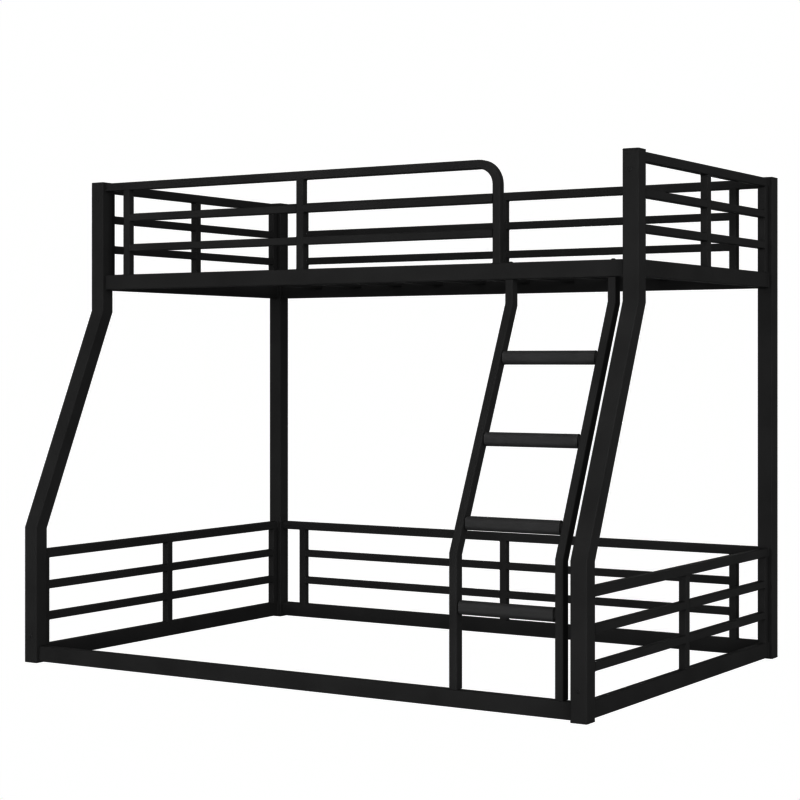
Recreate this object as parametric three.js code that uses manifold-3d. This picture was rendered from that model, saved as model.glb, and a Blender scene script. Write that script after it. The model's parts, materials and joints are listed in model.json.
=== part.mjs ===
// Twin-over-full bunk bed welded and bolted from square steel tube, with a bent ladder.
// Millimetres. +Z is up, +X runs along the bed and the ladder side faces -Y.
import * as THREE from 'three';
import Module from 'manifold-3d';

const wasm = await Module();
wasm.setup();
const { Manifold, CrossSection } = wasm;

// Overall frame
const LENGTH = 2000;
const DEPTH = 1394;
const POST = 50;
const POST_TOP = 1556.5;
const WALL = 1.2;
const CORNER = 3.5;
const FIT = 0.3;

// The bent front posts: how far the upper part stands back, and where the front face bends
const SETBACK = 323.5;
const BEND_LOW = 432;
const BEND_HIGH = 1133;
const BEND_DROP = 4.5;

// Deck rails
const RAIL_H = 49;
const RAIL_D = 25;
const LOWER_RAIL_Z = 4;
const UPPER_RAIL_Z = 1202;

// Fences: three equal gaps between deck rail, two mid rails and the top rail
const FENCE_H = 305.5;
const TOP_H = 28;
const MID_H = 24;
const MID_D = 24;
const STILE = 26;
const TUBE_D = 25;
const REAR_STILE_X = 859;

// Front guard with its bent-down end
const GUARD_LEG_X = 539;
const GUARD_MID_X = -161.5;
const GUARD_RADIUS = 74;
const GUARD_BEND_STEPS = 10;

// Ladder
const LADDER_XS = [581, 910.5];
const LADDER_W = 25;
const LADDER_D = 32;
const LADDER_DROP = 7;
const RUNG_Z0 = 281;
const RUNG_PITCH = 231;
const RUNG_COUNT = 4;
const RUNG_H = 40;
const RUNG_D = 28;
const SLEEVE_WALL = 4;
const SLEEVE_GAP_LEFT = 1.5;
const SLEEVE_GAP_RIGHT = 7;

// Slats of the upper deck
const SLAT_COUNT = 10;
const SLAT_W = 40;
const SLAT_H = 15;

// Caps, feet and bolts
const CAP_T = 4.5;
const CAP_CHAMFER = 1.5;
const FOOT_T = 4;
const PLUG_LENGTH = 14;
const BOLT_R = 6.5;
const BOLT_H = 1.5;
const BOLT_ZS = [86, 1502];
const LADDER_BOLT_R = 6;
const LADDER_BOLT_H = 3;

// Derived planes
const X_OUT = LENGTH / 2;
const X_IN = X_OUT - POST;
const Y_FRONT = -(DEPTH - BOLT_H) / 2;
const Y_REAR = Y_FRONT + DEPTH;
const Y_UPPER = Y_FRONT + SETBACK;
const INSET = (POST - TUBE_D) / 2;
const MID_INSET = (TUBE_D - MID_D) / 2;
const MID_GAP = (FENCE_H - TOP_H - 2 * MID_H) / 3;

const MATERIALS = {
  frame: { color: 0x1c1c1d, roughness: 0.55, metalness: 0.2 },
  sleeve: { color: 0x303133, roughness: 0.5, metalness: 0.0 },
  plastic: { color: 0x161616, roughness: 0.6, metalness: 0.0 },
  bolt: { color: 0x202021, roughness: 0.4, metalness: 0.6 },
};

const group = new THREE.Group();
group.name = 'bunk_bed_with_ladder';

// ---- solids ----

function add(name, solid, kind) {
  const mesh = solid.getMesh();
  const position = new Float32Array(mesh.numVert * 3);
  for (let i = 0; i < mesh.numVert; i += 1) {
    for (let k = 0; k < 3; k += 1) {
      position[i * 3 + k] = mesh.vertProperties[i * mesh.numProp + k];
    }
  }
  const geometry = new THREE.BufferGeometry();
  geometry.setAttribute('position', new THREE.BufferAttribute(position, 3));
  geometry.setIndex(new THREE.BufferAttribute(new Uint32Array(mesh.triVerts), 1));
  geometry.computeVertexNormals();
  const node = new THREE.Mesh(geometry, new THREE.MeshStandardMaterial(MATERIALS[kind]));
  node.name = name;
  node.material.name = kind;
  group.add(node);
}

// Outline of a rectangle a wide and b high with rounded corners, starting at the origin corner.
function outline(a, b, radius, steps = 2, inset = 0) {
  const r = Math.max(radius - inset, 0.01);
  const points = [];
  const corners = [
    [a - inset - r, b - inset - r, 0],
    [inset + r, b - inset - r, 90],
    [inset + r, inset + r, 180],
    [a - inset - r, inset + r, 270],
  ];
  for (const [ca, cb, start] of corners) {
    for (let i = 0; i <= steps; i += 1) {
      const angle = ((start + (90 * i) / steps) * Math.PI) / 180;
      points.push([ca + r * Math.cos(angle), cb + r * Math.sin(angle)]);
    }
  }
  return points;
}

// A straight bar with a rounded section, lying along one axis between two ends.
function bar(axis, from, to, a0, b0, a, b, radius = CORNER, steps = 2, inset = 0) {
  const section = new CrossSection([outline(a, b, radius, steps, inset)]);
  const solid = section.extrude(to - from);
  if (axis === 'x') {
    return solid.rotate([90, 0, 90]).translate([from, a0, b0]);
  }
  if (axis === 'y') {
    return solid.rotate([90, 0, 0]).translate([a0, to, b0]);
  }
  return solid.translate([a0, b0, from]);
}

// The same bar as an open-ended tube.
function tube(axis, from, to, a0, b0, a, b) {
  const outer = bar(axis, from, to, a0, b0, a, b);
  const inner = bar(axis, from - 1, to + 1, a0, b0, a, b, CORNER, 1, WALL);
  return outer.subtract(inner);
}

// A bar that follows stations; each station maps section coordinates to a point in space.
function sweep(points, stations) {
  const count = points.length;
  const vertices = [];
  for (const place of stations) {
    for (const [a, b] of points) {
      vertices.push(...place(a, b));
    }
  }
  const triangles = [];
  for (let s = 0; s + 1 < stations.length; s += 1) {
    for (let i = 0; i < count; i += 1) {
      const j = (i + 1) % count;
      const low = s * count;
      const high = low + count;
      triangles.push(low + i, low + j, high + j, low + i, high + j, high + i);
    }
  }
  const last = (stations.length - 1) * count;
  for (let i = 1; i + 1 < count; i += 1) {
    triangles.push(0, i + 1, i);
    triangles.push(last, last + i, last + i + 1);
  }
  const mesh = new wasm.Mesh({
    numProp: 3,
    vertProperties: new Float32Array(vertices),
    triVerts: new Uint32Array(triangles),
  });
  const solid = new Manifold(mesh);
  return solid.volume() < 0 ? new Manifold(flipped(mesh)) : solid;
}

function flipped(mesh) {
  const turned = new Uint32Array(mesh.triVerts);
  for (let i = 0; i < turned.length; i += 3) {
    const keep = turned[i];
    turned[i] = turned[i + 1];
    turned[i + 1] = keep;
  }
  return new wasm.Mesh({ numProp: 3, vertProperties: mesh.vertProperties, triVerts: turned });
}

function hollow(solidFor) {
  return solidFor(0, 0).subtract(solidFor(WALL, 1));
}

// An upright that starts vertical, leans back between the two bends and ends vertical.
function bentUpright(x, y, width, depth, z0, z1, drop, inset, over) {
  const points = outline(width, depth, CORNER, inset ? 1 : 2, inset);
  const at = (shift, z, fall) => (a, b) => [x + a, y + shift + b, z - (fall * b) / depth];
  return sweep(points, [
    at(0, z0 - over, 0),
    at(0, BEND_LOW, drop),
    at(SETBACK, BEND_HIGH, drop),
    at(SETBACK, z1 + over, 0),
  ]);
}

// ---- posts, caps and feet ----

const POST_Z0 = FOOT_T + FIT;
const POST_Z1 = POST_TOP - FIT;
const SIDES = { left: -X_OUT, right: X_IN };

function postPlug(x, y, z0, z1) {
  const gap = WALL + FIT;
  return bar('z', z0, z1, x + gap, y + gap, POST - 2 * gap, POST - 2 * gap, CORNER);
}

function postCap(x, y) {
  const z0 = POST_TOP;
  const rim = bar('z', z0, z0 + CAP_T - CAP_CHAMFER, x, y, POST, POST, CORNER);
  const shrink = POST - 2 * CAP_CHAMFER;
  const crown = bar('z', z0, z0 + CAP_T, x + CAP_CHAMFER, y + CAP_CHAMFER, shrink, shrink, CORNER);
  return rim.add(crown).add(postPlug(x, y, z0 - PLUG_LENGTH, z0 + 1));
}

function postFoot(x, y) {
  const pad = bar('z', 0, FOOT_T, x, y, POST, POST, CORNER);
  return pad.add(postPlug(x, y, FOOT_T - 1, FOOT_T + PLUG_LENGTH));
}

for (const [side, x] of Object.entries(SIDES)) {
  const bent = (inset, over) =>
    bentUpright(x, Y_FRONT, POST, POST, POST_Z0, POST_Z1, BEND_DROP, inset, over);
  add(`post_front_${side}`, hollow(bent), 'frame');
  add(`post_rear_${side}`, tube('z', POST_Z0, POST_Z1, x, Y_REAR - POST, POST, POST), 'frame');
  add(`post_cap_front_${side}`, postCap(x, Y_UPPER), 'plastic');
  add(`post_cap_rear_${side}`, postCap(x, Y_REAR - POST), 'plastic');
  add(`post_foot_front_${side}`, postFoot(x, Y_FRONT), 'plastic');
  add(`post_foot_rear_${side}`, postFoot(x, Y_REAR - POST), 'plastic');
}

// ---- decks: four rails each ----

const DECKS = {
  lower: { z: LOWER_RAIL_Z, front: Y_FRONT },
  upper: { z: UPPER_RAIL_Z, front: Y_UPPER },
};

function sideRail(y, z) {
  return tube('x', -X_IN + FIT, X_IN - FIT, y + INSET, z, RAIL_D, RAIL_H);
}

function endRail(x, front, z) {
  const y0 = front + POST + FIT;
  const y1 = Y_REAR - POST - FIT;
  return tube('y', y0, y1, x + INSET, z, RAIL_D, RAIL_H);
}

for (const [deck, { z, front }] of Object.entries(DECKS)) {
  add(`${deck}_side_rail_front`, sideRail(front, z), 'frame');
  add(`${deck}_side_rail_rear`, sideRail(Y_REAR - POST, z), 'frame');
  for (const [side, x] of Object.entries(SIDES)) {
    add(`${deck}_end_rail_${side}`, endRail(x, front, z), 'frame');
  }
}

// ---- fences ----

function levels(z) {
  const base = z + RAIL_H;
  const mids = [0, 1].map((i) => base + MID_GAP + i * (MID_GAP + MID_H));
  return { base, mids, top: base + FENCE_H - TOP_H };
}

// Uprights and mid rails welded together; the tubes' insides join and open at the upright ends.
function lattice(parts) {
  const outer = Manifold.union(parts.map((part) => bar(...part)));
  const inner = Manifold.union(parts.map(([axis, from, to, a0, b0, a, b]) => {
    const reach = axis === 'z' ? 1 : -WALL;
    return bar(axis, from - reach, to + reach, a0, b0, a, b, CORNER, 1, WALL);
  }));
  return outer.subtract(inner);
}

function infillAlongX(y, z, uprights, x0, x1) {
  const { base, mids, top } = levels(z);
  const parts = uprights.map((x) => ['z', base + FIT, top - FIT, x - STILE / 2, y, STILE, TUBE_D]);
  for (const level of mids) {
    parts.push(['x', x0, x1, y + MID_INSET, level, MID_D, MID_H]);
  }
  return lattice(parts);
}

function infillAlongY(x, z, uprights, y0, y1) {
  const { base, mids, top } = levels(z);
  const parts = uprights.map((y) => ['z', base + FIT, top - FIT, x, y - STILE / 2, TUBE_D, STILE]);
  for (const level of mids) {
    parts.push(['y', y0, y1, x + MID_INSET, level, MID_D, MID_H]);
  }
  return lattice(parts);
}

for (const [deck, { z, front }] of Object.entries(DECKS)) {
  const { top } = levels(z);
  const rearY = Y_REAR - POST + INSET;
  const rearXs = [-REAR_STILE_X, 0, REAR_STILE_X];
  const rearInfill = infillAlongX(rearY, z, rearXs, -REAR_STILE_X, REAR_STILE_X);
  add(`${deck}_rear_top_rail`, tube('x', -X_IN + FIT, X_IN - FIT, rearY, top, TUBE_D, TOP_H), 'frame');
  add(`${deck}_rear_infill`, rearInfill, 'frame');
  const y0 = front + POST + FIT;
  const y1 = Y_REAR - POST - FIT;
  const endYs = [y0 + STILE / 2, (y0 + y1) / 2, y1 - STILE / 2];
  for (const [side, x] of Object.entries(SIDES)) {
    const infill = infillAlongY(x + INSET, z, endYs, endYs[0], endYs[2]);
    add(`${deck}_end_top_rail_${side}`, tube('y', y0, y1, x + INSET, top, TUBE_D, TOP_H), 'frame');
    add(`${deck}_end_infill_${side}`, infill, 'frame');
  }
}

// ---- front guard: a top tube bent down to the side rail, with its own infill ----

function guardTube(inset, over) {
  const y = Y_UPPER + INSET;
  const { base } = levels(UPPER_RAIL_Z);
  const crest = base + FENCE_H;
  const right = GUARD_LEG_X + STILE / 2;
  const centre = [right - GUARD_RADIUS, crest - GUARD_RADIUS];
  const stations = [(a, b) => [-X_IN + FIT - over, y + a, crest - b]];
  for (let i = 0; i <= GUARD_BEND_STEPS; i += 1) {
    const angle = (Math.PI / 2) * (1 - i / GUARD_BEND_STEPS);
    stations.push((a, b) => [
      centre[0] + (GUARD_RADIUS - b) * Math.cos(angle),
      y + a,
      centre[1] + (GUARD_RADIUS - b) * Math.sin(angle),
    ]);
  }
  stations.push((a, b) => [right - b, y + a, base + FIT - over]);
  return sweep(outline(TUBE_D, STILE, CORNER, inset ? 1 : 2, inset), stations);
}

function guardInfill() {
  const left = -REAR_STILE_X - 1.5;
  const right = GUARD_LEG_X - STILE / 2 - FIT;
  const { base, mids, top } = levels(UPPER_RAIL_Z);
  const y = Y_UPPER + INSET;
  const under = top + TOP_H - STILE - FIT;
  const parts = [left, GUARD_MID_X].map((x) => {
    return ['z', base + FIT, under, x - STILE / 2, y, STILE, TUBE_D];
  });
  for (const level of mids) {
    parts.push(['x', left, right, y + MID_INSET, level, MID_D, MID_H]);
  }
  return lattice(parts);
}

add('guard_top_tube', hollow(guardTube), 'frame');
add('guard_infill', guardInfill(), 'frame');

// ---- upper deck slats ----

const SLAT_Y0 = Y_UPPER + INSET + RAIL_D + FIT;
const SLAT_Y1 = Y_REAR - POST + INSET - FIT;
const SLAT_PITCH = (LENGTH - 2 * (INSET + RAIL_D)) / (SLAT_COUNT + 1);

for (let i = 0; i < SLAT_COUNT; i += 1) {
  const x = SLAT_PITCH * (i - (SLAT_COUNT - 1) / 2) - SLAT_W / 2;
  const z = UPPER_RAIL_Z + RAIL_H - SLAT_H;
  add(`slat_${i + 1}`, tube('y', SLAT_Y0, SLAT_Y1, x, z, SLAT_W, SLAT_H), 'frame');
}

// ---- ladder ----

const LADDER_Y = Y_FRONT + INSET;
const LADDER_Z0 = LOWER_RAIL_Z + RAIL_H + FIT;
const LADDER_Z1 = UPPER_RAIL_Z - FIT;
const LEAN = SETBACK / (BEND_HIGH - BEND_LOW);

function ladderFront(z) {
  return LADDER_Y + Math.min(Math.max(z - BEND_LOW, 0) * LEAN, SETBACK);
}

function rungBar(x0, x1, z, inset, steps) {
  const y = ladderFront(z) + (LADDER_D * Math.hypot(1, z > BEND_LOW ? LEAN : 0) - RUNG_D) / 2;
  return bar('x', x0, x1, y, z - RUNG_H / 2, RUNG_D, RUNG_H, RUNG_D / 2, steps, inset);
}

['left', 'right'].forEach((side, i) => {
  const x = LADDER_XS[i] - LADDER_W / 2;
  const stile = (inset, over) =>
    bentUpright(x, LADDER_Y, LADDER_W, LADDER_D, LADDER_Z0, LADDER_Z1, LADDER_DROP, inset, over);
  add(`ladder_stile_${side}`, hollow(stile), 'frame');
});

for (let i = 0; i < RUNG_COUNT; i += 1) {
  const z = RUNG_Z0 + i * RUNG_PITCH;
  const x0 = LADDER_XS[0] + LADDER_W / 2 + FIT;
  const x1 = LADDER_XS[1] - LADDER_W / 2 - FIT;
  const core = rungBar(x0, x1, z, SLEEVE_WALL + FIT, 4);
  const bore = rungBar(x0 - 1, x1 + 1, z, SLEEVE_WALL, 4);
  const sleeve = rungBar(x0 + SLEEVE_GAP_LEFT, x1 - SLEEVE_GAP_RIGHT, z, 0, 8).subtract(bore);
  const inside = rungBar(x0 - 1, x1 + 1, z, SLEEVE_WALL + FIT + WALL, 4);
  add(`rung_${i + 1}`, core.subtract(inside), 'frame');
  add(`rung_sleeve_${i + 1}`, sleeve, 'sleeve');
}

// ---- bolts ----

function boltHead(radius, height) {
  return Manifold.cylinder(height, radius, radius * 0.8, 24);
}

for (const [side, x] of Object.entries(SIDES)) {
  BOLT_ZS.forEach((z, i) => {
    const y = (i === 0 ? Y_FRONT : Y_UPPER) - FIT / 10;
    const head = boltHead(BOLT_R, BOLT_H - FIT / 10).rotate([90, 0, 0]);
    add(`post_bolt_${side}_${i + 1}`, head.translate([x + POST / 2, y, z]), 'bolt');
  });
}

['left', 'right'].forEach((side, i) => {
  const z = UPPER_RAIL_Z + RAIL_H + FIT / 10;
  const head = boltHead(LADDER_BOLT_R, LADDER_BOLT_H);
  add(`ladder_bolt_${side}`, head.translate([LADDER_XS[i], Y_UPPER + POST / 2, z]), 'bolt');
});

export default group;
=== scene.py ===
# %% [markdown]
# # A steel bunk bed with a bent ladder
# This lesson finishes a bunk bed whose steel tubes were already drawn as solids.
# The real bed is square and flat tube, welded into panels, bolted together and
# powder coated black. The tubes keep their drawn shape here. What we add is what a
# workshop adds: weld beads, moulded caps and feet, screw heads, grip sleeves on the
# rungs, and a finish for every surface.

# %% Load the drawn bed
import json
import math
import random

import bmesh
import bpy
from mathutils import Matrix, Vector


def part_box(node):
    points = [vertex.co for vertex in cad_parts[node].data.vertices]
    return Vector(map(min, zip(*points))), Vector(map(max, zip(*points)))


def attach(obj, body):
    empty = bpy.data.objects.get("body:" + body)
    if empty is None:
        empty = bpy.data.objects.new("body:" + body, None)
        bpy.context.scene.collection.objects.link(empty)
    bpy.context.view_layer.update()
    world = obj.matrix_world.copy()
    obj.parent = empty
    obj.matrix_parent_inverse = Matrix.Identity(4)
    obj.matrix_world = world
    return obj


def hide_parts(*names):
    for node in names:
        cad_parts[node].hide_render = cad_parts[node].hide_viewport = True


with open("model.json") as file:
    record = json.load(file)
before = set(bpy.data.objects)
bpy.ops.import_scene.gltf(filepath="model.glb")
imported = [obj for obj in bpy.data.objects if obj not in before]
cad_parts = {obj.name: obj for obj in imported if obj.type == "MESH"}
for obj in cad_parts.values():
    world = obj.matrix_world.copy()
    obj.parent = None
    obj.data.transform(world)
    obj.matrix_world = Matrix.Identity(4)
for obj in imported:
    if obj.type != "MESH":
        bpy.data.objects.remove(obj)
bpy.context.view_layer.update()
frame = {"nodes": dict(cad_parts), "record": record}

print("tubes and fittings:", len(frame["nodes"]))

# %% [markdown]
# ## Where the viewer stands
# A long lens from well back keeps the posts nearly parallel, the way furniture is
# usually shown for sale. The camera could be tilted to centre the bed, but then the
# posts would lean. It stays level instead, and a small lens shift slides the bed
# into the frame.

# %% Camera
CAMERA_PLACE = (3.2888, -5.3189, 0.9636)
CAMERA_LEVEL = math.radians(90)
CAMERA_TURN = math.radians(32.5)
LENS_MM = 87.05
LENS_FRAME_MM = 36.0
LENS_SHIFT = (0.0273, -0.0484)
LENS_REACH = 200.0

lens = bpy.data.cameras.new("shop_lens")
lens.lens = LENS_MM
lens.sensor_width = LENS_FRAME_MM
lens.shift_x, lens.shift_y = LENS_SHIFT
lens.clip_end = LENS_REACH
camera = bpy.data.objects.new("shop_camera", lens)
camera.location = CAMERA_PLACE
camera.rotation_euler = (CAMERA_LEVEL, 0.0, CAMERA_TURN)
bpy.context.scene.collection.objects.link(camera)
bpy.context.scene.camera = camera
print("camera distance:", round(Vector(CAMERA_PLACE).length, 2), "m")

# %% [markdown]
# ## A pale studio
# Black paint gives back very little light, so the light on it is strong and broad.
# A wrapped image of a studio could light the bed too, but separate panels can be
# balanced one by one. Big soft panels at the height of the bed do the shaping. They
# stand far off, so that the far posts get as much light as the near ones. The front
# ones light the long rails, and the one at the ladder's end draws the sides of the
# posts. The one along the wall side and the one above wear a polarising sheet: they
# light the paint without a shine, so no glare runs along the tops of the rails.
#
# The room looks plain white to the lens and gives the bed only a soft fill.
# Brightness is shown straight, with no curve. A curve would lift the half covered
# edge of each thin tube towards white and make the tube look thinner.

# %% Surround and soft panels
SURROUND_SEEN = 1.0
SURROUND_LIGHT = 1.6
PANEL_SIZE = 8.5
PANEL_DISTANCE = 20.0
PANEL_AIM = Vector((0, 0, 0.8))
# name: degrees round from the ladder side, degrees above level, watts
PANELS = {
    "front_panel": (0, 0, 12400),
    "front_right_panel": (30, 0, 12300),
    "ladder_end_panel": (70, 8, 11500),
    "front_left_panel": (330, 0, 6600),
    "far_end_panel": (270, 0, 11000),
    "wall_corner_panel": (120, 12, 2000),
    "wall_side_panel": (195, 6, 22000),
    "top_panel": (0, 90, 4500),
}
SHINELESS = {"wall_side_panel", "top_panel"}

scene = bpy.context.scene
scene.view_settings.view_transform = "Raw"
scene.view_settings.look = "None"


def seen_or_cast(tree, seen, cast, out):
    """What the lens sees of a surface, and what that surface gives to the bed."""
    path = tree.nodes.new("ShaderNodeLightPath")
    pick = tree.nodes.new("ShaderNodeMixShader")
    tree.links.new(path.outputs["Is Camera Ray"], pick.inputs[0])
    tree.links.new(cast, pick.inputs[1])
    tree.links.new(seen, pick.inputs[2])
    tree.links.new(pick.outputs[0], out.inputs["Surface"])


def studio_surround():
    world = bpy.data.worlds.new("pale_surround")
    world.use_nodes = True
    tree = world.node_tree
    tree.nodes.clear()
    layers = []
    for strength in (SURROUND_SEEN, SURROUND_LIGHT):
        layer = tree.nodes.new("ShaderNodeBackground")
        layer.inputs["Color"].default_value = (1, 1, 1, 1)
        layer.inputs["Strength"].default_value = strength
        layers.append(layer.outputs[0])
    seen_or_cast(tree, *layers, tree.nodes.new("ShaderNodeOutputWorld"))
    return world


def soft_panel(name, turn, rise, watts):
    turn, rise = math.radians(turn), math.radians(rise)
    away = Vector((math.sin(turn) * math.cos(rise),
                   -math.cos(turn) * math.cos(rise), math.sin(rise)))
    light = bpy.data.lights.new(name, "AREA")
    light.shape = "SQUARE"
    light.size = PANEL_SIZE
    light.energy = watts
    panel = bpy.data.objects.new(name, light)
    panel.location = PANEL_AIM + away * PANEL_DISTANCE
    panel.rotation_euler = (-away).to_track_quat("-Z", "Y").to_euler()
    panel.visible_camera = False
    panel.visible_glossy = name not in SHINELESS
    scene.collection.objects.link(panel)


scene.world = studio_surround()
for panel_name, (turn, rise, watts) in PANELS.items():
    soft_panel(panel_name, turn, rise, watts)
print("soft panels:", len(PANELS), "of", sum(w for _, _, w in PANELS.values()), "W")

# %% [markdown]
# The floor is a flat sheet of matt paint on a light table. A backdrop that curves up
# behind the bed could hide the horizon, but it would show from the other side. Here
# the sheet is the same plain white to the lens as the room, so the bed stands on
# white with no horizon from anywhere. To the bed it is a darker sheet with a soft
# glow, so the undersides stay nearly black.

# %% Floor sheet
FLOOR_HALF = 30.0
FLOOR_SEEN = 1.0
FLOOR_CAST = 0.30
FLOOR_LIGHT = 0.52

floor_mesh = bpy.data.meshes.new("pale_floor")
corner_signs = [(-1, -1), (1, -1), (1, 1), (-1, 1)]
floor_mesh.from_pydata([(x * FLOOR_HALF, y * FLOOR_HALF, 0) for x, y in corner_signs],
                       [], [(0, 1, 2, 3)])
floor = bpy.data.objects.new("pale_floor", floor_mesh)
scene.collection.objects.link(floor)
floor_paint = bpy.data.materials.new("floor_paint")
floor_paint.use_nodes = True
floor_tree = floor_paint.node_tree
floor_tree.nodes.clear()
glow = floor_tree.nodes.new("ShaderNodeEmission")
glow.inputs["Strength"].default_value = FLOOR_SEEN
sheet = floor_tree.nodes.new("ShaderNodeBsdfPrincipled")
sheet.inputs["Base Color"].default_value = (FLOOR_CAST, FLOOR_CAST, FLOOR_CAST, 1)
sheet.inputs["Roughness"].default_value = 1.0
sheet.inputs["Specular IOR Level"].default_value = 0.0
sheet.inputs["Emission Color"].default_value = (1, 1, 1, 1)
sheet.inputs["Emission Strength"].default_value = FLOOR_LIGHT
seen_or_cast(floor_tree, glow.outputs[0], sheet.outputs[0],
             floor_tree.nodes.new("ShaderNodeOutputMaterial"))
floor_mesh.materials.append(floor_paint)
print("floor sheet:", 2 * FLOOR_HALF, "m square")

# %% [markdown]
# ## How a finish is put together
# Each finish is one Principled shader fed by noise measured in metres on the part
# itself. A painted texture would need every tube unwrapped, and would blur close up.
# Noise needs no unwrapping and stays sharp. Three scales do the work on nearly any
# painted or moulded thing: broad patches a hand wide, a skin texture of a few
# millimetres, and a fine tooth you only feel. Small helpers keep each recipe short.

# %% Helpers for finishes
def new_finish(name):
    finish = bpy.data.materials.new(name)
    finish.use_nodes = True
    tree = finish.node_tree
    shader = tree.nodes["Principled BSDF"]
    place = tree.nodes.new("ShaderNodeTexCoord").outputs["Object"]
    return finish, tree, shader, place


def grain(tree, place, scale, detail=2.0, rough=0.5):
    """Noise with so many cells to the metre."""
    noise = tree.nodes.new("ShaderNodeTexNoise")
    noise.inputs["Scale"].default_value = scale
    noise.inputs["Detail"].default_value = detail
    noise.inputs["Roughness"].default_value = rough
    tree.links.new(place, noise.inputs["Vector"])
    return noise.outputs["Fac"]


def spread(tree, value, low, high, start=0.3, stop=0.7):
    """Stretch a value that runs from start to stop so that it runs from low to high."""
    fit = tree.nodes.new("ShaderNodeMapRange")
    fit.inputs["From Min"].default_value = start
    fit.inputs["From Max"].default_value = stop
    fit.inputs["To Min"].default_value = low
    fit.inputs["To Max"].default_value = high
    tree.links.new(value, fit.inputs["Value"])
    return fit.outputs["Result"]


def tint(tree, amount, first, second):
    """Go from one colour to another. The first may come from an earlier node."""
    mix = tree.nodes.new("ShaderNodeMix")
    mix.data_type = "RGBA"
    if isinstance(first, bpy.types.NodeSocket):
        tree.links.new(first, mix.inputs["A"])
    else:
        mix.inputs["A"].default_value = (*first, 1)
    mix.inputs["B"].default_value = (*second, 1)
    tree.links.new(amount, mix.inputs["Factor"])
    return mix.outputs["Result"]


def combine(tree, operation, first, second):
    """Add or multiply two values."""
    total = tree.nodes.new("ShaderNodeMath")
    total.operation = operation
    tree.links.new(first, total.inputs[0])
    tree.links.new(second, total.inputs[1])
    return total.outputs[0]


def relief(tree, height, depth, strength, under=None):
    """Raise the surface by a pattern, on top of the relief under it."""
    bump = tree.nodes.new("ShaderNodeBump")
    bump.inputs["Distance"].default_value = depth
    bump.inputs["Strength"].default_value = strength
    tree.links.new(height, bump.inputs["Height"])
    if under is not None:
        tree.links.new(under, bump.inputs["Normal"])
    return bump.outputs["Normal"]


def facing_up(tree):
    """One on a surface that faces the ceiling, nought on an upright one."""
    face = tree.nodes.new("ShaderNodeNewGeometry")
    split = tree.nodes.new("ShaderNodeSeparateXYZ")
    tree.links.new(face.outputs["Normal"], split.inputs[0])
    return split.outputs["Z"]


# %% [markdown]
# ## Black powder coat
# Powder coat is plastic dust, melted onto the steel in an oven. It levels almost
# flat but keeps a soft dimple called orange peel, some four millimetres across, with
# a faint tooth on top. Its black is never even: it clouds slightly, and the tops of
# the rails hold a trace of dust. A glossy paint could be tried, but it would draw
# pale streaks along every tube. This coat is nearly dull, so the reflection is set
# weak on the shader itself and only its blur varies.

# %% Powder coat
COAT_DEEP = (0.0162, 0.0162, 0.0162)
COAT_CLOUD = (0.0196, 0.0196, 0.0196)
COAT_DUST = (0.0235, 0.0235, 0.0234)
COAT_SHINE = 0.012
# cells of each pattern to the metre
CLOUD_GRAIN, DUST_GRAIN, PEEL_GRAIN, TOOTH_GRAIN = 7.0, 34.0, 260.0, 2100.0
# how far a face must look up for dust to settle, and to settle fully
DUST_SLOPE = (0.55, 0.98)
# least and most that a pattern gives
DUST_COVER = (0.15, 0.75)
CLOUD_BLUR = (0.50, 0.58)
PEEL_BLUR = (-0.03, 0.04)
# depth of a relief in metres, and its strength
PEEL_RELIEF = (0.00035, 0.28)
TOOTH_RELIEF = (0.00006, 0.35)


def powder_coat():
    finish, tree, shader, place = new_finish("satin_black_coat")
    cloud = grain(tree, place, CLOUD_GRAIN, detail=3.0)
    peel = grain(tree, place, PEEL_GRAIN, detail=1.5)
    tooth = grain(tree, place, TOOTH_GRAIN)
    black = tint(tree, spread(tree, cloud, 0.0, 1.0), COAT_DEEP, COAT_CLOUD)
    patchy = spread(tree, grain(tree, place, DUST_GRAIN, detail=4.0), *DUST_COVER)
    settle = spread(tree, facing_up(tree), 0.0, 1.0, *DUST_SLOPE)
    dusty = tint(tree, combine(tree, "MULTIPLY", patchy, settle), black, COAT_DUST)
    tree.links.new(dusty, shader.inputs["Base Color"])
    blur = combine(tree, "ADD", spread(tree, cloud, *CLOUD_BLUR),
                   spread(tree, peel, *PEEL_BLUR))
    tree.links.new(blur, shader.inputs["Roughness"])
    shader.inputs["Specular IOR Level"].default_value = COAT_SHINE
    skin = relief(tree, peel, *PEEL_RELIEF)
    tree.links.new(relief(tree, tooth, *TOOTH_RELIEF, skin), shader.inputs["Normal"])
    return finish


coat = powder_coat()
print(coat.name, "has", len(coat.node_tree.nodes), "nodes")

# %% [markdown]
# ## Soft grip sleeve
# The rungs wear a tube of closed-cell rubber, dark grey rather than black so that a
# foot finds it in the dark. The skin is matt and a little open: round cells under
# a millimetre, over slow swells from the way the tube was stretched on. Plain noise
# would look like sand here, so the cells are a Voronoi pattern, which has edges.

# %% Sleeve rubber
RUBBER_DARK = (0.0206, 0.0206, 0.0207)
RUBBER_PALE = (0.0262, 0.0262, 0.0263)
RUBBER_SHINE = 0.04
RUBBER_BLUR = (0.48, 0.60)
SWELL_GRAIN, FLECK_GRAIN, CELL_GRAIN = 22.0, 900.0, 1500.0
SWELL_SHARE, FLECK_SHARE = 0.6, 0.4
SWELL_RELIEF = (0.0006, 0.25)
CELL_RELIEF = (0.00012, 0.5)


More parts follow.
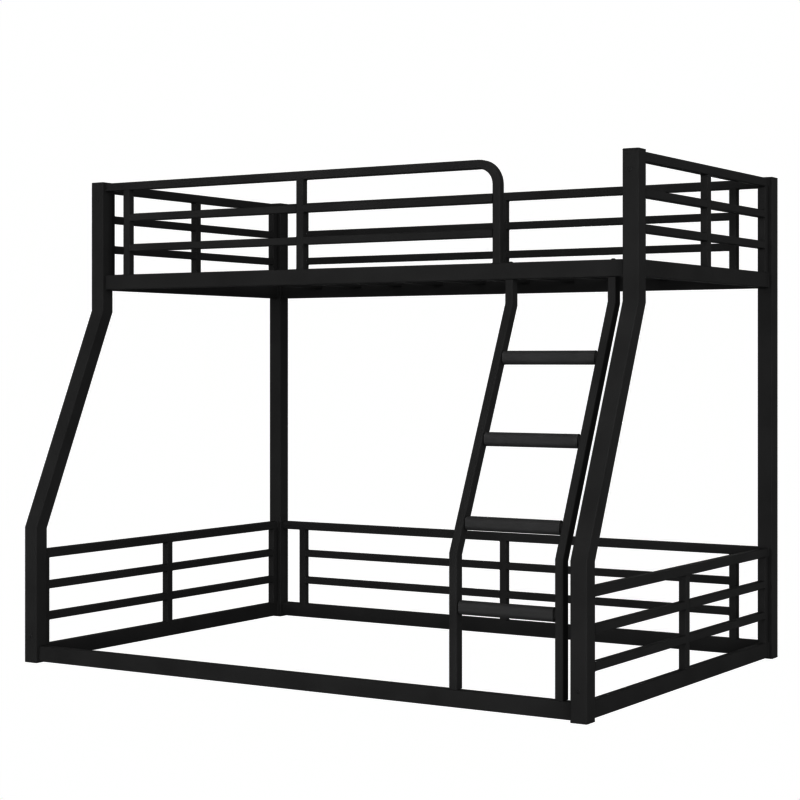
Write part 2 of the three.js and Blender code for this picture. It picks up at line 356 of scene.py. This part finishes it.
def sleeve_rubber():
    finish, tree, shader, place = new_finish("grip_sleeve_rubber")
    swell = grain(tree, place, SWELL_GRAIN, detail=3.0)
    fleck = grain(tree, place, FLECK_GRAIN, rough=0.7)
    cells = tree.nodes.new("ShaderNodeTexVoronoi")
    cells.inputs["Scale"].default_value = CELL_GRAIN
    tree.links.new(place, cells.inputs["Vector"])
    shade = combine(tree, "ADD", spread(tree, swell, 0.0, SWELL_SHARE),
                    spread(tree, fleck, 0.0, FLECK_SHARE))
    tree.links.new(tint(tree, shade, RUBBER_DARK, RUBBER_PALE),
                   shader.inputs["Base Color"])
    tree.links.new(spread(tree, fleck, *RUBBER_BLUR), shader.inputs["Roughness"])
    shader.inputs["Specular IOR Level"].default_value = RUBBER_SHINE
    soft = relief(tree, swell, *SWELL_RELIEF)
    tree.links.new(relief(tree, cells.outputs["Distance"], *CELL_RELIEF, soft),
                   shader.inputs["Normal"])
    return finish


rubber = sleeve_rubber()
print(rubber.name, "has", len(rubber.node_tree.nodes), "nodes")

# %% [markdown]
# ## Moulded plastic
# Caps and feet come out of a steel mould that was spark-eroded to a fine even
# grain, so their black is drier than the paint beside them. Weak flow marks give
# away where the melt ran. Reusing the coat would be quicker, but it has dimples that
# no mould leaves. So the marks are noise squeezed along one direction instead.

# %% Moulded plastic
PLASTIC_DARK = (0.0135, 0.0135, 0.0136)
PLASTIC_PALE = (0.0180, 0.0180, 0.0181)
PLASTIC_SHINE = 0.03
PLASTIC_BLUR = (0.46, 0.62)
FLOW_SQUEEZE = (1.0, 5.0, 1.0)
FLOW_GRAIN, SPARK_GRAIN = 30.0, 1500.0
SPARK_RELIEF = (0.00008, 0.5)


def moulded_plastic():
    finish, tree, shader, place = new_finish("moulded_black_plastic")
    squeeze = tree.nodes.new("ShaderNodeMapping")
    squeeze.inputs["Scale"].default_value = FLOW_SQUEEZE
    tree.links.new(place, squeeze.inputs["Vector"])
    flow = grain(tree, squeeze.outputs[0], FLOW_GRAIN)
    spark = grain(tree, place, SPARK_GRAIN, detail=3.0, rough=0.6)
    tree.links.new(tint(tree, spread(tree, flow, 0.0, 1.0), PLASTIC_DARK, PLASTIC_PALE),
                   shader.inputs["Base Color"])
    tree.links.new(spread(tree, spark, *PLASTIC_BLUR), shader.inputs["Roughness"])
    shader.inputs["Specular IOR Level"].default_value = PLASTIC_SHINE
    tree.links.new(relief(tree, spark, *SPARK_RELIEF), shader.inputs["Normal"])
    return finish


plastic = moulded_plastic()
print(plastic.name, "has", len(plastic.node_tree.nodes), "nodes")

# %% [markdown]
# ## Black zinc
# The screws are plated steel, dyed black. They were tumbled in the plating drum, so
# they are dull, with fine marks and a paler rub where one screw struck another. A
# fully metallic shader would flash white under the panels. Black zinc is nearer to
# paint than to bare steel, so only a quarter of its shine is the metal's own.

# %% Black zinc
ZINC_DARK = (0.0110, 0.0110, 0.0112)
ZINC_WORN = (0.0165, 0.0164, 0.0162)
ZINC_METAL = 0.25
ZINC_SHINE = 0.12
ZINC_BLUR = (0.44, 0.60)
TUMBLE_GRAIN, KNOCK_GRAIN = 620.0, 180.0
# least and most wear, and where in the noise it starts and is full
KNOCK_WEAR = (0.0, 0.8, 0.5, 0.75)
TUMBLE_RELIEF = (0.00005, 0.4)


def black_zinc():
    finish, tree, shader, place = new_finish("black_zinc_plating")
    tumble = grain(tree, place, TUMBLE_GRAIN, detail=3.0, rough=0.65)
    knock = grain(tree, place, KNOCK_GRAIN)
    worn = spread(tree, knock, *KNOCK_WEAR)
    tree.links.new(tint(tree, worn, ZINC_DARK, ZINC_WORN), shader.inputs["Base Color"])
    tree.links.new(spread(tree, tumble, *ZINC_BLUR), shader.inputs["Roughness"])
    shader.inputs["Metallic"].default_value = ZINC_METAL
    shader.inputs["Specular IOR Level"].default_value = ZINC_SHINE
    tree.links.new(relief(tree, tumble, *TUMBLE_RELIEF), shader.inputs["Normal"])
    return finish


zinc = black_zinc()
print(zinc.name, "has", len(zinc.node_tree.nodes), "nodes")

# %% [markdown]
# ## The tubes
# Drawn tube has rounded corners. The solids have them too, in a few flat facets,
# and what is missing is only smooth shading. A bevel could round the corners again,
# but it would change a shape that is right already. So a small node modifier joins
# the facets' shared points and marks gentle edges smooth, and a weighted normal keeps
# the wide faces flat. Each corner then turns softly, and nothing is moved.

# %% Smooth corners on the tubes
WELD_DISTANCE = 0.00001
SMOOTH_BELOW = math.radians(50)
FLAT_FACE_WEIGHT = 80


def corner_smoother():
    group = bpy.data.node_groups.new("smooth_tube_corners", "GeometryNodeTree")
    for way in ("INPUT", "OUTPUT"):
        group.interface.new_socket("Geometry", in_out=way,
                                   socket_type="NodeSocketGeometry")
    first = group.nodes.new("NodeGroupInput")
    last = group.nodes.new("NodeGroupOutput")
    merge = group.nodes.new("GeometryNodeMergeByDistance")
    merge.inputs["Distance"].default_value = WELD_DISTANCE
    angle = group.nodes.new("GeometryNodeInputMeshEdgeAngle")
    gentle = group.nodes.new("FunctionNodeCompare")
    gentle.data_type = "FLOAT"
    gentle.operation = "LESS_THAN"
    gentle.inputs["B"].default_value = SMOOTH_BELOW
    faces = group.nodes.new("GeometryNodeSetShadeSmooth")
    faces.domain = "FACE"
    edges = group.nodes.new("GeometryNodeSetShadeSmooth")
    edges.domain = "EDGE"
    join = group.links.new
    join(first.outputs[0], merge.inputs["Geometry"])
    join(merge.outputs[0], faces.inputs["Geometry"])
    join(faces.outputs[0], edges.inputs["Geometry"])
    join(angle.outputs["Unsigned Angle"], gentle.inputs["A"])
    join(gentle.outputs["Result"], edges.inputs["Shade Smooth"])
    join(edges.outputs[0], last.inputs[0])
    return group


smoother = corner_smoother()


def dress(node_object, finish):
    node_object.data.materials.clear()
    node_object.data.materials.append(finish)
    corners = node_object.modifiers.new("smooth_corners", "NODES")
    corners.node_group = smoother
    flats = node_object.modifiers.new("flat_faces", "WEIGHTED_NORMAL")
    flats.keep_sharp = True
    flats.weight = FLAT_FACE_WEIGHT


slot_of = {row["node"]: row["material_slot"] for row in frame["record"]["subparts"]}
finish_of = {"frame": coat, "sleeve": rubber, "plastic": plastic, "bolt": zinc}
for node_name, node_object in sorted(frame["nodes"].items()):
    dress(node_object, finish_of[slot_of[node_name]])
print("dressed:", {s: sum(v == s for v in slot_of.values()) for s in finish_of})

# %% [markdown]
# ## Shapes from rings
# Caps, feet, screws, sleeves and weld beads are all one idea: a closed outline that
# moves and changes size from ring to ring, with faces between the rings. A modifier
# stack could round a plain block instead, but rings give each edge its own radius
# and close every shape exactly, which matters when the mesh is reused.

# %% Helpers for shapes
MM = 0.001
SAME_POINT = 1e-7
SHARP_FROM = 35.0


def rounded_outline(half_a, half_b, radius, steps):
    """Points round a rectangle with rounded corners, as pairs."""
    points = []
    for turn, (side_a, side_b) in enumerate(((1, 1), (-1, 1), (-1, -1), (1, -1))):
        for i in range(steps + 1):
            angle = math.radians(90 * (turn + i / steps))
            points.append((side_a * (half_a - radius) + radius * math.cos(angle),
                           side_b * (half_b - radius) + radius * math.sin(angle)))
    return points


class Shape:
    """Collects rings and faces for one mesh."""

    def __init__(self):
        self.points, self.faces = [], []

    def ring(self, points):
        """Keep a ring's points, and give back their numbers."""
        first = len(self.points)
        self.points.extend(points)
        return list(range(first, len(self.points)))

    def band(self, low, high):
        """Faces between two rings."""
        count = len(low)
        for i in range(count):
            j = (i + 1) % count
            self.faces.append((low[i], low[j], high[j], high[i]))

    def fill(self, ring, centre):
        """Close a ring with a fan of faces."""
        hub = len(self.points)
        self.points.append(centre)
        count = len(ring)
        self.faces.extend((ring[i], ring[(i + 1) % count], hub) for i in range(count))

    def stack(self, rings, first_centre=None, last_centre=None, loop=False):
        """A skin over many rings, closed at its ends or joined into a loop."""
        rows = [self.ring(r) for r in rings]
        for low, high in zip(rows, rows[1:]):
            self.band(low, high)
        if loop:
            self.band(rows[-1], rows[0])
        if first_centre is not None:
            self.fill(rows[0], first_centre)
        if last_centre is not None:
            self.fill(rows[-1], last_centre)


def make_piece(name, shape, finish, sharp=SHARP_FROM):
    """A mesh object riding on the bed, smooth except at edges sharper than given."""
    mesh = bpy.data.meshes.new(name)
    mesh.from_pydata(shape.points, [], shape.faces)
    work = bmesh.new()
    work.from_mesh(mesh)
    bmesh.ops.remove_doubles(work, verts=work.verts, dist=SAME_POINT)
    bmesh.ops.recalc_face_normals(work, faces=work.faces)
    for face in work.faces:
        face.smooth = True
    gentle = math.radians(sharp)
    for edge in work.edges:
        edge.smooth = len(edge.link_faces) == 2 and edge.calc_face_angle() < gentle
    work.to_mesh(mesh)
    work.free()
    mesh.materials.append(finish)
    piece = bpy.data.objects.new(name, mesh)
    scene.collection.objects.link(piece)
    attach(piece, "root")
    return piece


# %% [markdown]
# ## Post caps and feet
# A cap is pressed into the open top of each post. Its rim covers the cut edge of
# the steel. Its top is slightly domed, so that it wipes clean and doesn't sink as
# the plastic cools. The foot is the same moulding upside down: thicker, with a
# hollow in its sole so it stands on its rim. A bevelled block would round every edge
# alike. Here each has a profile of its own: a list of heights, and of insets from
# the post's outer face, both in millimetres.

# %% Caps and feet
POST_HALF = 25 * MM
TUBE_CORNER = 3.5
CORNER_SHRINK = 0.6
LEAST_CORNER = 1.2
CORNER_STEPS = 6
CAP_PROFILE = [(-14.0, 2.6), (-13.0, 1.7), (-0.1, 1.6), (-0.1, 0.35), (0.2, 0.05),
               (0.5, 0.0), (2.6, 0.0), (3.2, 0.15), (3.6, 0.55), (3.85, 1.2),
               (4.0, 2.2), (4.18, 5.0), (4.34, 9.0), (4.45, 14.0), (4.5, 19.0)]
FOOT_PROFILE = [(0.9, 19.0), (0.9, 8.0), (0.6, 7.3), (0.05, 6.8), (0.0, 6.2),
                (0.0, 1.5), (0.12, 0.75), (0.45, 0.25), (1.0, 0.0), (3.3, 0.0),
                (3.7, 0.1), (3.95, 0.4), (4.05, 1.6), (17.0, 1.7), (18.0, 2.6)]


def profile_ring(centre, base, height, inset):
    half = POST_HALF - inset * MM
    corner = max(TUBE_CORNER - inset * CORNER_SHRINK, LEAST_CORNER) * MM
    z = base + height * MM
    return [(centre.x + a, centre.y + b, z)
            for a, b in rounded_outline(half, half, corner, CORNER_STEPS)]


def post_moulding(name, node, base, profile):
    low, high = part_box(node)
    centre = (low + high) / 2
    shape = Shape()
    rings = [profile_ring(centre, base, z, inset) for z, inset in profile]
    ends = [(centre.x, centre.y, base + z * MM) for z, _ in (profile[0], profile[-1])]
    shape.stack(rings, *ends)
    piece = make_piece(name, shape, plastic)
    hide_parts(node)
    return piece


for row in ("front", "rear"):
    for side in ("left", "right"):
        cap_node = f"post_cap_{row}_{side}"
        cap_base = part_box(cap_node)[1].z - CAP_PROFILE[-1][0] * MM
        post_moulding(f"domed_cap_{row}_{side}", cap_node, cap_base, CAP_PROFILE)
        post_moulding(f"foot_pad_{row}_{side}", f"post_foot_{row}_{side}", 0.0,
                      FOOT_PROFILE)

# %% [markdown]
# ## Button head screws
# The screws that show are socket button heads: a low dome with a hexagon pressed
# into it for the key. Cutting the socket out with a boolean would leave ragged faces.
# In rings it is clean: the dome is a quarter ellipse of them, and at the socket the
# ring turns from a circle into a hexagon, drops straight down, and closes.

# %% Screws
HEAD_POINTS = 36
# shares of the head's radius
WASHER_SIZE, WASHER_HOLE = 1.28, 0.5
SOCKET_SIZE = 0.36
# shares of the washer's thickness
WASHER_EDGE, WASHER_CHAMFER = 0.8, 0.3
# the head's foot, then the dome: shares of the radius and of the height
HEAD_FOOT = ((0.97, 0.0), (1.0, 0.06))
DOME_FLAT = 0.56
DOME_EDGE = 0.16
DOME_STEPS = 6
# the socket from its mouth down: shares of its size and of the head's height
SOCKET_WALL = ((1.06, 1.0), (1.0, 0.93), (1.0, 0.25))
SOCKET_FLOOR = 0.2
# radius, height and washer thickness
POST_SCREW = (6.5 * MM, 1.47 * MM, 0.0)
LADDER_SCREW = (5.6 * MM, 2.2 * MM, 0.75 * MM)


def hexagon_reach(angle, flat):
    """Distance from the middle to the side of a hexagon at an angle."""
    part = (angle % math.radians(60)) - math.radians(30)
    return flat / math.cos(part)


def screw_shape(shape, place, out, radius, height, washer):
    """A screw head standing on a place, with or without a washer under it."""
    side = out.orthogonal().normalized()
    up = out.cross(side)

    def turn_ring(reach, lift):
        ring = []
        for i in range(HEAD_POINTS):
            angle = 2 * math.pi * i / HEAD_POINTS
            r = reach(angle) if callable(reach) else reach
            ring.append(tuple(place + side * (r * math.cos(angle))
                              + up * (r * math.sin(angle)) + out * lift))
        return ring

    if washer:
        disc = radius * WASHER_SIZE
        rings = [turn_ring(disc, 0), turn_ring(disc, washer * WASHER_EDGE),
                 turn_ring(disc - washer * WASHER_CHAMFER, washer),
                 turn_ring(radius * WASHER_HOLE, washer)]
        shape.stack(rings, tuple(place), tuple(place + out * washer))
        place = place + out * washer
    rings = [turn_ring(radius * wide, height * lift) for wide, lift in HEAD_FOOT]
    for i in range(DOME_STEPS + 1):
        bend = math.radians(90 * i / DOME_STEPS)
        reach = radius * (DOME_FLAT + (1 - DOME_FLAT) * math.cos(bend))
        lift = height * (DOME_EDGE + (1 - DOME_EDGE) * math.sin(bend))
        rings.append(turn_ring(reach, lift))
    socket = radius * SOCKET_SIZE
    for wide, lift in SOCKET_WALL:
        rings.append(turn_ring(lambda a: hexagon_reach(a, socket * wide), height * lift))
    shape.stack(rings, tuple(place), tuple(place + out * height * SOCKET_FLOOR))


def screw_piece(name, node, out, sizes):
    low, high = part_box(node)
    middle = (low + high) / 2
    half = Vector([abs(o) * (h - l) / 2 for o, h, l in zip(out, high, low)])
    place = middle - Vector([o * h for o, h in zip(out, half)])
    shape = Shape()
    screw_shape(shape, place, out, *sizes)
    piece = make_piece(name, shape, zinc)
    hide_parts(node)
    return piece


for side in ("left", "right"):
    for number in (1, 2):
        screw_piece(f"post_screw_{side}_{number}", f"post_bolt_{side}_{number}",
                    Vector((0, -1, 0)), POST_SCREW)
    screw_piece(f"ladder_screw_{side}", f"ladder_bolt_{side}",
                Vector((0, 0, 1)), LADDER_SCREW)
print("screw heads:", round(2 * POST_SCREW[0] / MM, 1), "mm on the posts,",
      round(2 * LADDER_SCREW[0] / MM, 1), "mm over the ladder")

# %% [markdown]
# ## Grip sleeves
# Each rung is an oval steel tube inside a rubber sleeve. The sleeve is cut from a
# long extrusion: an oval, forty by twenty-eight millimetres, with shallow ribs on the
# upper side where the foot lands. A curve with a bevel would give the same section
# all round. Rings let the ribs sit on top only and fade out near the ends, where
# pushing the sleeve on has left a slightly rolled lip. The bore is part of the mesh.

# %% Sleeves on the rungs
OVAL_POINTS = 160
RIBS_ROUND = 36
RIB_START = 0.35
RIB_FADE = 2.0
RIB_RISE = 0.35 * MM
BORE_WALL = 3.9 * MM
SLEEVE_SHARP_FROM = 60.0


def oval_outline(half_y, half_z, grow, ribs):
    """The oval outline, grown outward, with grooves between the ribs on its top."""
    points = []
    straight = half_z - half_y
    for i in range(OVAL_POINTS):
        angle = 2 * math.pi * i / OVAL_POINTS
        out_y, out_z = math.cos(angle), math.sin(angle)
        reach = half_y + grow
        tread = max(0.0, out_z - RIB_START) / (1 - RIB_START)
        wave = 0.5 - 0.5 * math.cos(angle * RIBS_ROUND)
        reach -= ribs * RIB_RISE * min(1.0, tread * RIB_FADE) * wave
        shift = straight if out_z >= 0 else -straight
        points.append((reach * out_y, reach * out_z + shift))
    return points


# place along the sleeve from its end, and growth of the outline there, in mm
LIP = [(0.0, -2.6), (0.12, -1.5), (0.5, -0.6), (1.1, -0.1), (1.9, 0.0),
       (3.0, -0.12), (4.4, -0.42), (6.0, -0.5)]


def grip_sleeve(name, node):
    low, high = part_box(node)
    middle = (low + high) / 2
    half_y, half_z = (high.y - low.y) / 2, (high.z - low.z) / 2

    def ring(x, grow, ribs):
        return [(x, middle.y + a, middle.z + b)
                for a, b in oval_outline(half_y, half_z, grow, ribs)]

    length = high.x - low.x
    places = [(x * MM, grow * MM, x / LIP[-1][0]) for x, grow in LIP]
    places += [(length - x, grow, ribs) for x, grow, ribs in reversed(places)]
    rings = [ring(low.x + x, grow, ribs) for x, grow, ribs in places]
    rings.append(ring(high.x, -BORE_WALL, 0.0))
    rings.append(ring(low.x, -BORE_WALL, 0.0))
    shape = Shape()
    shape.stack(rings, loop=True)
    piece = make_piece(name, shape, rubber, SLEEVE_SHARP_FROM)
    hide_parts(node)
    return piece


RUNGS = 4
for number in range(1, RUNGS + 1):
    grip_sleeve(f"grip_sleeve_{number}", f"rung_sleeve_{number}")
sleeve_low, sleeve_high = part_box("rung_sleeve_1")
print("sleeve:", [round(x, 4) for x in sleeve_high - sleeve_low])

# %% [markdown]
# ## Weld beads
# Where one tube meets another, a welder lays a bead round the joint. On a face
# that stands across its neighbour the bead is a fillet that fills the corner. Where
# both faces are level it is ground back to a low seam. The coat covers it, but the
# ripple of the torch still shows. A bump map could hint at it from far off, yet a
# bead has real height and its own shadow, so it is swept here as a solid, six points
# to a station, with a small seeded unevenness. Each panel's beads form one piece.

# %% Helpers for weld beads
# how far a bead reaches out from its tube, up along it, and down past its end, in mm
FILLET = (2.4, 2.4, 0.25)
SEAM = (0.28, 1.7, 1.7)
STEP_SEAM = (0.72, 1.7, 0.25)
# shares of that reach, and of the rise or the drop, at the points between the roots
BEAD_CROWN = ((0.34, 0.72), (0.74, 0.30))
BEAD_BELLY = ((1.0, 0.15), (0.6, 0.7))
BEAD_ROOT = 0.5 * MM
BEAD_CORNER_STEPS = 4
RIPPLE = 4.0 * MM
RIPPLE_SWELL = 0.13
STATIONS_PER_RIPPLE = 4
UNEVEN = 0.10
WELD_SEED = 8

weld_chance = random.Random(WELD_SEED)


def spaced(outline, gap):
    """The outline again, with extra points so that none lie further apart than gap."""
    points = []
    count = len(outline)
    for i in range(count):
        (a0, b0), (a1, b1) = outline[i], outline[(i + 1) % count]
        parts = max(1, round(math.hypot(a1 - a0, b1 - b0) / gap))
        points.extend((a0 + (a1 - a0) * k / parts, b0 + (b1 - b0) * k / parts)
                      for k in range(parts))
    return points


def weld_bead(shape, centre, along, across_a, across_b, half_a, half_b, sides,
              corner=TUBE_CORNER):
    """A bead round a tube end. Sides give the bead's form on +a, -a, +b and -b."""
    corner = corner * MM
    path = spaced(rounded_outline(half_a, half_b, corner, BEAD_CORNER_STEPS),
                  RIPPLE / STATIONS_PER_RIPPLE)
    rings, run = [], 0.0
    swell = 1.0
    for i, (a, b) in enumerate(path):
        near_a = max(-(half_a - corner), min(half_a - corner, a))
        near_b = max(-(half_b - corner), min(half_b - corner, b))
        out = Vector((a - near_a, b - near_b)).normalized()
        shares = (max(out.x, 0) ** 2, max(-out.x, 0) ** 2,
                  max(out.y, 0) ** 2, max(-out.y, 0) ** 2)
        if i:
            run += math.hypot(a - path[i - 1][0], b - path[i - 1][1])
        if i % STATIONS_PER_RIPPLE == 0:
            swell = 1.0 + weld_chance.uniform(-UNEVEN, UNEVEN)
        ripple = swell * (1.0 + RIPPLE_SWELL * math.cos(2 * math.pi * run / RIPPLE))
        wide, high, deep = (sum(s * form[k] for s, form in zip(shares, sides)) * MM
                            for k in range(3))
        wide, high = wide * ripple, high * (0.5 + 0.5 * ripple)
        section = [(-BEAD_ROOT, high)]
        section += [(reach * wide, rise * high) for reach, rise in BEAD_CROWN]
        section += [(reach * wide, -drop * deep) for reach, drop in BEAD_BELLY]
        section += [(-BEAD_ROOT, -deep)]
        ring = []
        for reach, lift in section:
            p = (centre + across_a * (a + out.x * reach)
                 + across_b * (b + out.y * reach) + along * lift)
            ring.append(tuple(p))
        rings.append(ring)
    shape.stack(rings, loop=True)


X, Y, Z = Vector((1, 0, 0)), Vector((0, 1, 0)), Vector((0, 0, 1))
TUBE_HALF = 12.5 * MM
UPRIGHT_HALF = 13 * MM
MID_HALF = 12 * MM
UPRIGHT_FORM = (FILLET, FILLET, SEAM, SEAM)
MID_FORM = (STEP_SEAM, STEP_SEAM, FILLET, FILLET)


def upright_welds(shape, axis, place, low_z, high_z):
    """The two ends of an upright: on the deck rail and under the top rail."""
    other = Y if axis is X else X
    for z, along in ((low_z, Z), (high_z, -Z)):
        centre = Vector((place.x, place.y, z))
        weld_bead(shape, centre, along, axis, other, UPRIGHT_HALF, TUBE_HALF,
                  UPRIGHT_FORM)


def mid_welds(shape, axis, place, mid_zs, towards):
    """Both mid rails where they run into one side of an upright."""
    other = Y if axis is X else X
    for z in mid_zs:
        centre = Vector((place.x, place.y, z)) + axis * (towards * UPRIGHT_HALF)
        weld_bead(shape, centre, axis * towards, other, Z, MID_HALF, MID_HALF,
                  MID_FORM)


def rail_welds(shape, node):
    """Both ends of an end rail, against the posts."""
    low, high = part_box(node)
    middle = (low + high) / 2
    for y, along in ((low.y, Y), (high.y, -Y)):
        weld_bead(shape, Vector((middle.x, y, middle.z)), along, X, Z,
                  (high.x - low.x) / 2, (high.z - low.z) / 2, (FILLET,) * 4)


# %% [markdown]
# The heights of the joints come from the solids themselves: the top of the deck
# rail, the underside of the top rail, and the two mid rails between, which leave
# three equal gaps. Every place could be read off the solids, but a whole infill is
# one solid, so the places of the uprights along it are given here, in millimetres.

# %% Beads of the fence panels
REAR_UPRIGHTS = (-859, 0, 859)
GUARD_UPRIGHTS = (-860.5, -161.5)
GUARD_LEG = 539
MID_GAP = 76.5 * MM


def mid_heights(base):
    return [base + MID_GAP + MID_HALF + i * (MID_GAP + 2 * MID_HALF) for i in range(2)]


def fence_along(axis, places, base, under, leg=None):
    """All the beads of one panel. A leg is the guard's own bent end."""
    shape = Shape()
    mids = mid_heights(base)
    for i, place in enumerate(places):
        upright_welds(shape, axis, place, base, under)
        if i > 0:
            mid_welds(shape, axis, place, mids, -1)
        if i < len(places) - 1 or leg is not None:
            mid_welds(shape, axis, place, mids, 1)
    if leg is not None:
        mid_welds(shape, axis, leg, mids, -1)
        weld_bead(shape, Vector((leg.x, leg.y, base)), Z, X, Y, UPRIGHT_HALF, TUBE_HALF,
                  UPRIGHT_FORM)
    return shape


weld_faces = 0
for deck in ("lower", "upper"):
    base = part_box(f"{deck}_side_rail_rear")[1].z
    low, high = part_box(f"{deck}_rear_top_rail")
    rear_y = (low.y + high.y) / 2
    places = [Vector((x * MM, rear_y, 0)) for x in REAR_UPRIGHTS]
    rear = fence_along(X, places, base, low.z)
    made = [make_piece(f"weld_beads_{deck}_rear", rear, coat)]
    for side in ("left", "right"):
        low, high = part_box(f"{deck}_end_infill_{side}")
        middle = (low + high) / 2
        ys = (low.y + UPRIGHT_HALF, middle.y, high.y - UPRIGHT_HALF)
        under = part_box(f"{deck}_end_top_rail_{side}")[0].z
        end = fence_along(Y, [Vector((middle.x, y, 0)) for y in ys], base, under)
        rail_welds(end, f"{deck}_end_rail_{side}")
        rail_welds(end, f"{deck}_end_top_rail_{side}")
        made.append(make_piece(f"weld_beads_{deck}_end_{side}", end, coat))
    weld_faces += sum(len(piece.data.polygons) for piece in made)

guard_low, guard_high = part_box("guard_infill")
guard_y = (guard_low.y + guard_high.y) / 2
guard_places = [Vector((x * MM, guard_y, 0)) for x in GUARD_UPRIGHTS]
guard_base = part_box("upper_side_rail_front")[1].z
guard_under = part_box("guard_top_tube")[1].z - 2 * UPRIGHT_HALF
guard = fence_along(X, guard_places, guard_base, guard_under,
                    Vector((GUARD_LEG * MM, guard_y, 0)))
guard_piece = make_piece("weld_beads_guard", guard, coat)
print("faces of bead on the fences:", weld_faces + len(guard_piece.data.polygons))

# %% [markdown]
# The slats are let in between the side rails, level with their tops, so their
# beads are low on top and full underneath. The rungs are welded between the
# ladder's stiles. The bead hides under the sleeve at one end and shows in the narrow
# gap at the other. One piece for every joint would be tidy on paper, but twenty-eight
# tiny pieces are harder to look after than two.

# %% Beads of the slats and rungs
SLATS = 10
SLAT_FORM = (FILLET, FILLET, SEAM, FILLET)
RUNG_BEAD = (1.5, 1.2, 0.2)
# a rung is round at both ends of its oval, all but this much of a millimetre
RUNG_FLAT = 0.01
slat_beads, rung_beads = Shape(), Shape()
for number in range(1, SLATS + 1):
    low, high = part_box(f"slat_{number}")
    middle = (low + high) / 2
    for y, along in ((low.y, Y), (high.y, -Y)):
        weld_bead(slat_beads, Vector((middle.x, y, middle.z)), along, X, Z,
                  (high.x - low.x) / 2, (high.z - low.z) / 2, SLAT_FORM)
for number in range(1, RUNGS + 1):
    low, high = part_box(f"rung_{number}")
    middle = (low + high) / 2
    half_y, half_z = (high.y - low.y) / 2, (high.z - low.z) / 2
    for x, along in ((low.x, X), (high.x, -X)):
        weld_bead(rung_beads, Vector((x, middle.y, middle.z)), along, Y, Z,
                  half_y, half_z, (RUNG_BEAD,) * 4, half_y / MM - RUNG_FLAT)
make_piece("weld_beads_slats", slat_beads, coat)
make_piece("weld_beads_rungs", rung_beads, coat)
print("faces of bead on slats and rungs:",
      len(slat_beads.faces) + len(rung_beads.faces))
